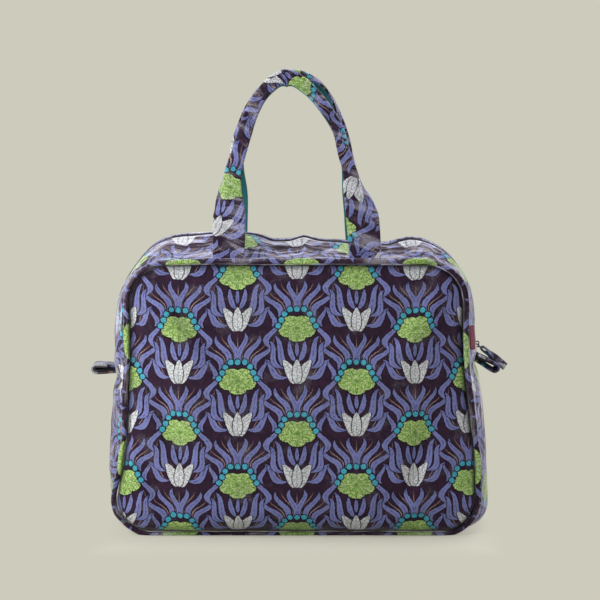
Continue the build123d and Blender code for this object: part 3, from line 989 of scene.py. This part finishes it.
def coilPiece(name, sign):
    z = zipParts
    loop = zipLoop(z["tapeInset"] - z["coilHeight"] / 2)
    loop[:, 1] += topShift(loop[:, 0], sign * z["coilWidth"] / 2, loop[:, 1])
    along = np.concatenate([[0], np.cumsum(np.linalg.norm(np.diff(loop, axis=0), axis=1))])
    places = np.arange(0.005, along[-1] - 0.005, z["toothPitch"]) + (z["toothPitch"] / 2 if sign > 0 else 0)
    centres = np.column_stack([np.interp(places, along, loop[:, k]) for k in (0, 1)])
    ahead = np.column_stack([np.interp(places + 0.0005, along, loop[:, k]) for k in (0, 1)]) - centres
    ahead /= np.linalg.norm(ahead, axis=1)[:, None]
    bpy.ops.object.select_all(action="DESELECT")
    bpy.ops.mesh.primitive_cylinder_add(vertices=10, radius=0.5, depth=1.0)
    tooth = bpy.context.object
    bevel = tooth.modifiers.new("rounding", "BEVEL")
    bevel.width = 0.22
    bevel.segments = 2
    bevel.limit_method = "ANGLE"
    applyAll(tooth)
    shape = np.array([v.co for v in tooth.data.vertices])
    toothFaces = [tuple(face.vertices) for face in tooth.data.polygons]
    bpy.data.objects.remove(tooth)
    points, faces = [], []
    middle = z["coilGap"] / 2 + z["coilWidth"] / 2
    for (x, height), (dx, dz) in zip(centres, ahead):
        base = len(points)
        out = (-dz, dx)
        for px, py, pz in shape:
            run = px * z["toothLength"]
            rise = py * z["coilHeight"]
            points.append((x + dx * run - out[0] * rise * -1, sign * (middle + pz * z["coilWidth"]), height + dz * run + out[1] * rise))
        faces += [tuple(base + k for k in face) for face in toothFaces]
    made = meshObject(name, points, faces, None, [coil])
    bpy.context.view_layer.objects.active = made
    made.select_set(True)
    bpy.ops.object.mode_set(mode="EDIT")
    bpy.ops.mesh.select_all(action="SELECT")
    bpy.ops.mesh.normals_make_consistent(inside=False)
    bpy.ops.object.mode_set(mode="OBJECT")
    return made


for side, sign in (("front", -1), ("rear", 1)):
    declare(tapePiece("zip_tape_" + side + "_woven", sign), "bag", "zip_tape", "zip_tape_" + side)
    declare(coilPiece("zip_coil_" + side + "_teeth", sign), "bag", "zip_coil", "zip_coil_" + side)
print("zip made")


# ---- handles: velvet strap with a teal lining, folded in half along its length above each foot

handle = {
    "spacing": 0.162, "rise": 0.230, "width": 0.038, "squareness": 0.77, "velvetPly": 0.0024, "liningPly": 0.0015,
    "foldStrip": 0.006, "frontShift": -0.009, "rearShift": -0.004,
    # height above the foot as a share of the rise, and the fold there in degrees
    "fold": {
        "frontLeft": ((0.0, 2), (0.22, 3), (0.25, 12), (0.30, 38), (0.35, 56), (0.42, 76), (0.50, 95), (0.58, 135), (0.66, 168), (1.0, 172)),
        "frontRight": ((0.0, 2), (0.22, 3), (0.25, 10), (0.30, 32), (0.35, 50), (0.42, 80), (0.50, 115), (0.58, 150), (0.66, 170), (1.0, 172)),
        "rearLeft": ((0.0, 2), (0.22, 3), (0.30, 36), (0.42, 76), (0.50, 95), (0.58, 135), (0.66, 168), (1.0, 165)),
        "rearRight": ((0.0, 2), (0.22, 3), (0.30, 36), (0.42, 76), (0.50, 95), (0.58, 135), (0.66, 150), (0.75, 125), (0.85, 96), (0.96, 100), (1.0, 140)),
    },
    # how far each leg strays from the plain arch at those shares, in mm to the right
    "stray": {
        "frontLeft": ((0, 0), (0.28, 0), (0.365, -4), (0.49, -3.8), (0.56, -1.4), (0.65, 0.6), (0.8, 1.4), (0.9, 1.8), (0.97, 3), (1, 0)),
        "frontRight": ((0, 0), (0.3, 0), (0.4, -0.5), (0.46, -0.2), (0.51, -1.6), (0.56, -4), (0.61, -4.2), (0.69, -2.8), (0.8, -5.6), (0.9, -9), (0.97, -11), (1, -7)),
        "rearLeft": ((0, 0), (0.25, -1.2), (0.365, -2.2), (0.46, -6), (0.6, -8), (0.85, -5), (0.95, -3), (1, 1)),
        "rearRight": ((0, 0), (0.3, -1), (0.5, -2.5), (0.6, -2), (0.7, -2), (0.8, -1.2), (0.9, -1.2), (1, 0)),
    },
    # how much of its width the strap keeps there
    "squeeze": {
        "frontLeft": ((0, 1), (0.4, 1), (0.55, 0.86), (0.8, 0.80), (0.93, 0.79), (0.97, 0.87), (1, 1.10)),
        "frontRight": ((0, 1), (0.38, 0.97), (0.5, 0.76), (0.8, 0.66), (0.93, 0.76), (0.97, 0.86), (1, 1.10)),
        "rearLeft": ((0, 1), (0.4, 1), (0.55, 0.8), (0.8, 0.72), (1, 0.72)), "rearRight": ((0, 1), (0.4, 0.95), (0.5, 0.75), (1, 0.7)),
    },
    "foot": -0.0788, "footHeight": 0.3236, "apexGap": 0.014, "crowding": 0.42, "stations": 180, "steps": (10, 10, 10), "rounding": 0.0016, "softening": 0.014, "bias": 0.42, "printShift": (0.016, 0.03),
}


def handlePoint(angle, shift):
    h = handle
    rise = sin(angle) ** h["squareness"] if 0 < angle < pi else 0
    lean = (-h["foot"] - h["apexGap"] / 2) / h["rise"]
    side = "front" if shift == h["frontShift"] else "rear"
    share = min(max(0.5 + 1.5 * cos(angle), 0), 1)
    share = share * share * (3 - 2 * share)
    stray, squeeze, fold = [
        readTable(h[name][side + "Left"], rise) * share + readTable(h[name][side + "Right"], rise) * (1 - share) for name in ("stray", "squeeze", "fold")]
    x = -h["spacing"] / 2 * cos(angle) + shift * rise + stray / 1000
    return Vector((x, h["foot"] + rise * h["rise"] * lean, h["footHeight"] + rise * h["rise"])), squeeze, radians(fold)


# the fold line of one strap, its tangents, squeezes and folds, drawn rounder over the apex
def handlePath(shift):
    h = handle
    even = np.linspace(0, pi, h["stations"] + 1)
    found = [handlePoint(angle, shift) for angle in even - h["crowding"] * np.sin(2 * even)]
    line = np.array([point for point, squeeze, turn in found])
    runs = np.concatenate([[0], np.cumsum(np.linalg.norm(np.diff(line, axis=0), axis=1))])
    softened = line.copy()
    for k, run in enumerate(runs):
        amount = min(max((line[k, 2] - h["footHeight"]) / h["rise"] * 5 - 3.6, 0), 1)
        if amount > 0:
            weights = np.exp(-((runs - run) / h["softening"]) ** 2) * np.gradient(runs)
            softened[k] += amount * ((line * weights[:, None]).sum(0) / weights.sum() - line[k])
    softened[:, 2] += (line[:, 2].max() - softened[:, 2].max()) * np.clip((line[:, 2] - h["footHeight"]) / h["rise"] * 5 - 4, 0, 1)
    return softened, np.gradient(softened, runs, axis=0), runs, [point[1] for point in found], [point[2] for point in found]


def strapSection(foldLine, ahead, squeeze, turn, across):
    h = handle
    slope = atan2(-h["foot"] - h["apexGap"] / 2, h["rise"])
    back = Vector((0, cos(slope), -sin(slope)))
    inwards = back.cross(Vector(ahead)).normalized()
    radius = h["foldStrip"] / turn
    halfFlat = (h["width"] - h["foldStrip"]) / 2
    centre = Vector(foldLine) + (inwards * sin(turn / 2) + back * cos(turn / 2)) * radius
    places = []
    for s, face in across:
        bend = turn * (1 - min(max((s - halfFlat) / h["foldStrip"], 0), 1))
        direction = inwards * -sin(bend) - back * cos(bend)
        place = centre + direction * (radius + face)
        if s < halfFlat:
            place += (inwards * -cos(turn) + back * sin(turn)) * (halfFlat - s) * squeeze
        elif s > halfFlat + h["foldStrip"]:
            place += inwards * (s - halfFlat - h["foldStrip"]) * squeeze
        places.append(place)
    return places


def strapPly(name, sign, shift, low, high, material, seed):
    h = handle
    halfFlat = (h["width"] - h["foldStrip"]) / 2
    widths = np.concatenate([
        np.array([0, 0.0003, 0.0008, 0.0016]), np.linspace(0.003, halfFlat, h["steps"][0])[:-1],
        np.linspace(halfFlat, halfFlat + h["foldStrip"], h["steps"][1])[:-1],
        np.linspace(halfFlat + h["foldStrip"], h["width"] - 0.003, h["steps"][2]), h["width"] - np.array([0.0016, 0.0008, 0.0003, 0])])
    points, cloth = [], []
    for here, ahead, run, squeeze, turn in zip(*handlePath(shift)):
        across = []
        for s in widths:
            edge = min(s, h["width"] - s)
            round_ = min(1, max(0, 1 - (1 - edge / h["rounding"]) ** 2)) ** 0.5 if edge < h["rounding"] else 1
            lump = 1 + 0.22 * ripple(s * 2, run, sign, 70, seed)
            face = high * round_ * lump if high > 0 else high
            across.append((s, face))
        for s in widths[::-1]:
            edge = min(s, h["width"] - s)
            round_ = min(1, max(0, 1 - (1 - edge / h["rounding"]) ** 2)) ** 0.5 if edge < h["rounding"] else 1
            across.append((s, low * round_ if low < 0 else low))
        for (s, face), place in zip(across, strapSection(here, ahead, squeeze, turn, across)):
            sway = ripple(run, seed, sign, 22, seed) * 0.0012 * min(max((here[2] - h["footHeight"]) / 0.06, 0), 1)
            points.append((place.x + sway, -sign * (place.y + sway), place.z))
            cloth.append((s * cos(h["bias"]) - run * sin(h["bias"]) + h["printShift"][0] * seed, s * sin(h["bias"]) + run * cos(h["bias"]) + h["printShift"][1] * seed))
    around = 2 * len(widths)
    faces = gridFaces(h["stations"] + 1, around, True)
    faces.append(tuple(range(around)))
    faces.append(tuple(range(len(points) - 1, len(points) - 1 - around, -1)))
    if sign > 0:
        faces = [face[::-1] for face in faces]
    faces = [face[::-1] for face in faces]
    # the straps take 0.4 of the painted sheen and crease shade
    return meshObject(name, points, faces, cloth, [material], True, None, 0.4)


for side, sign, shift, seed in (("front", -1, handle["frontShift"], 1.0), ("rear", 1, handle["rearShift"], 2.0)):
    strap = strapPly(side + "_handle_velvet", sign, shift, 0, handle["velvetPly"], velvet, seed)
    declare(strap, "bag", "velvet", side + "_handle")
    backing = strapPly(side + "_handle_teal", sign, shift, -handle["liningPly"], 0, lining, seed)
    declare(backing, "bag", "lining", side + "_handle_lining")
print("handles made")


# ---- loop tabs at the ends of the zip, pull strap and side tab

tab = {"length": 0.0305, "width": 0.030, "opening": 0.0030, "ply": 0.0050, "root": 0.0004, "leftDroop": 0, "rightDroop": 29, "lift": 0.004}
pull = {"parking": 0.020, "ringLength": 0.009, "wire": 0.0014, "width": 0.0100, "length": 0.036, "ply": 0.0024, "droop": 37, "twist": 52}


def sideX(height):
    low, high = bagShape["middleHeights"]
    share = (height - low) / (high - low)
    return (bagShape["middleWidths"][0] * (1 - share) + bagShape["middleWidths"][1] * share) / 2


sideSlope = atan2(sideX(0) - sideX(1), 1)


def sidePlace(side, height, droop, points):
    placed = []
    turn = sideSlope * 0 + radians(droop)
    for x, y, z in points:
        outX = x * cos(turn) + z * sin(turn)
        outZ = -x * sin(turn) + z * cos(turn)
        placed.append((side * (sideX(height) + outX), side * y, height + outZ))
    return placed


# a flat strap along a line in the x-z plane; inner is the sign of the face inside the fold, which takes the lining
# where lined and otherwise painted shade
def strapLoop(name, centreLine, ply, width, place, inner, lined, seed):
    line = np.array(centreLine)
    count = len(line)
    along = np.gradient(line, axis=0)
    along /= np.linalg.norm(along, axis=1)[:, None]
    normal = np.column_stack([-along[:, 1], along[:, 0]])
    runs = np.concatenate([[0], np.cumsum(np.linalg.norm(np.diff(line, axis=0), axis=1))])
    widths = np.concatenate([[0, 0.0005, 0.0014], np.linspace(0.003, width - 0.003, 9), [width - 0.0014, width - 0.0005, width]])
    points, cloth = [], []
    for k in range(count):
        ring = []
        for face in (1, -1):
            for s in (widths if face > 0 else widths[::-1]):
                edge = min(s, width - s)
                rounding = min(1, max(0, 1 - (1 - edge / 0.0014) ** 2)) ** 0.5 if edge < 0.0014 else 1
                lump = 1 + 0.2 * ripple(s * 2, runs[k], seed, 80, seed)
                offset = face * ply / 2 * rounding * lump
                ring.append((line[k, 0] + normal[k, 0] * offset, s - width / 2, line[k, 1] + normal[k, 1] * offset))
                cloth.append((s + 0.02 * seed, runs[k] + 0.05 * seed))
        points += ring
    around = 2 * len(widths)
    faces = gridFaces(count, around, True)
    faces.append(tuple(range(around))[::-1])
    faces.append(tuple(range(len(points) - around, len(points))))
    # painted shade: the face inside the fold is mixed 0.9 towards the dark matte velvet, the outer face 0.3; tabs and
    # pull take 0.3 of the painted sheen and crease shade
    foldShade = np.tile([0.3 if (k < len(widths)) == (inner < 0) else 0.9 for k in range(around)], count)
    made = meshObject(name, place(points), faces, cloth, [velvet, lining], True, foldShade, 0.3)
    for index in range((count - 1) * around):
        made.data.polygons[index].material_index = int(lined and (index % around < len(widths)) == (inner > 0))
    bpy.ops.object.select_all(action="DESELECT")
    bpy.context.view_layer.objects.active = made
    made.select_set(True)
    bpy.ops.object.mode_set(mode="EDIT")
    bpy.ops.mesh.select_all(action="SELECT")
    bpy.ops.mesh.normals_make_consistent(inside=False)
    bpy.ops.object.mode_set(mode="OBJECT")
    return made


def teardrop(length, opening, ply, root, count=46):
    radius = opening / 2 + ply / 2
    tip = length - radius - ply / 2
    rootHalf = ply / 2 + root / 2
    lean = atan2(radius - rootHalf, tip)
    line = []
    for t in np.linspace(0, 1, 12)[:-1]:
        line.append((-0.002 + (tip + 0.002) * t, -(rootHalf + (radius - rootHalf) * (3 * t * t - 2 * t ** 3))))
    for t in np.linspace(0, 1, count - 22):
        angle = -pi / 2 + pi * t
        line.append((tip + radius * cos(angle), radius * sin(angle)))
    for t in np.linspace(1, 0, 12)[1:]:
        line.append((-0.002 + (tip + 0.002) * t, rootHalf + (radius - rootHalf) * (3 * t * t - 2 * t ** 3)))
    return line


for side, name, droop, height in ((-1, "loop_tab_left", tab["leftDroop"], bagShape["leftZipEnd"]), (1, "loop_tab_right", tab["rightDroop"], bagShape["rightZipEnd"])):
    line = teardrop(tab["length"], tab["opening"], tab["ply"], tab["root"])
    place = lambda points: sidePlace(side, height + tab["lift"], droop, points)
    loop = strapLoop(name + "_velvet", line, tab["ply"], tab["width"], place, 1, False, 3.0 + side)
    declare(loop, "bag", "velvet", name)


def pullPlace(points):
    slope = sideSlope
    height = bagShape["rightZipEnd"] + pull["parking"]
    hingeOut = 0.001353
    hx = sideX(height) + hingeOut * cos(slope)
    hz = height + hingeOut * sin(slope)
    turn = radians(pull["droop"])
    placed = []
    for x, y, z in points:
        twist = radians(pull["twist"]) * min(max((x - pull["ringLength"] - 0.003) / 0.016, 0), 1)
        z -= 0.0025 * ((x - pull["ringLength"]) / pull["length"]) ** 2
        y, z = y * cos(twist) - z * sin(twist), y * sin(twist) + z * cos(twist)
        placed.append((hx + x * cos(turn) + z * sin(turn), y, hz - x * sin(turn) + z * cos(turn)))
    return placed


def pullLine(offset):
    eye = pull["wire"] / 2 ** 0.5 + 0.0001 + offset
    start = pull["ringLength"]
    line = []
    for t in np.linspace(0, 1, 14):
        line.append((start + pull["length"] - (pull["length"] - eye * 1.6) * t, -offset * 1.0 - (eye - offset) * max(0, (t - 0.8) / 0.2) ** 2))
    for t in np.linspace(0, 1, 16)[1:]:
        angle = -pi / 2 - 0.5 - (2 * pi - pi - 1.0) * t
        line.append((start + eye * cos(angle), eye * sin(angle)))
    for t in np.linspace(1, 0, 14):
        line.append((start + pull["length"] - (pull["length"] - eye * 1.6) * t, offset * 1.0 + (eye - offset) * max(0, (t - 0.8) / 0.2) ** 2))
    return line


pullStrap = strapLoop("zip_pull_strap_velvet", pullLine(pull["ply"] / 2), pull["ply"], pull["width"], pullPlace, -1, True, 7.4)
declare(pullStrap, "pull", "velvet", "zip_pull_strap")

sideTab = {"height": 0.0290, "low": 0.2226, "reach": 0.0090, "ply": 0.0006}


def sideTabPiece():
    t = sideTab
    share = t["low"] / 0.320
    edge = 0.215 * (1 - share) + 0.196 * share - 0.0025
    line = []
    for k in range(15):
        turn = radians(36 + 22 * k / 14)
        last = line[-1] if line else (edge + 0.0068, -0.0812)
        line.append((last[0] + t["reach"] / 14 * cos(turn), last[1] + t["reach"] / 14 * sin(turn)) if line else last)
    line = np.array(line)
    along = np.gradient(line, axis=0)
    along /= np.linalg.norm(along, axis=1)[:, None]
    points = []
    for face in (1, -1):
        for (x, y), (dx, dy) in zip(line, along):
            for level in np.linspace(0, t["height"], 9):
                points.append((x + dy * face * t["ply"] - level * 0.061, y - dx * face * t["ply"], t["low"] + level))
    half = len(line) * 9
    faces = gridFaces(len(line), 9)
    faces = faces + [tuple(k + half for k in face[::-1]) for face in faces]
    rim = [(k * 9, (k + 1) * 9) for k in range(len(line) - 1)] + [(k + (len(line) - 1) * 9, k + 1 + (len(line) - 1) * 9) for k in range(8)]
    rim += [((k + 1) * 9 + 8, k * 9 + 8) for k in range(len(line) - 2, -1, -1)] + [(k + 1, k) for k in range(7, -1, -1)]
    faces += [(a, b, b + half, a + half) for a, b in rim]
    made = meshObject("side_tab_ribbon", points, faces, None, [ribbon])
    bpy.ops.object.select_all(action="DESELECT")
    bpy.context.view_layer.objects.active = made
    made.select_set(True)
    bpy.ops.object.mode_set(mode="EDIT")
    bpy.ops.mesh.select_all(action="SELECT")
    bpy.ops.mesh.normals_make_consistent(inside=False)
    bpy.ops.object.mode_set(mode="OBJECT")
    return made


declare(sideTabPiece(), "bag", "side_tab", "side_tab")
print("tabs made")

for name, material in (("zip_slider", metal), ("zip_pull_ring", metal), ("zip_stop_left", metal), ("zip_stop_right", metal)):
    nodes[name].data.materials.clear()
    nodes[name].data.materials.append(material)
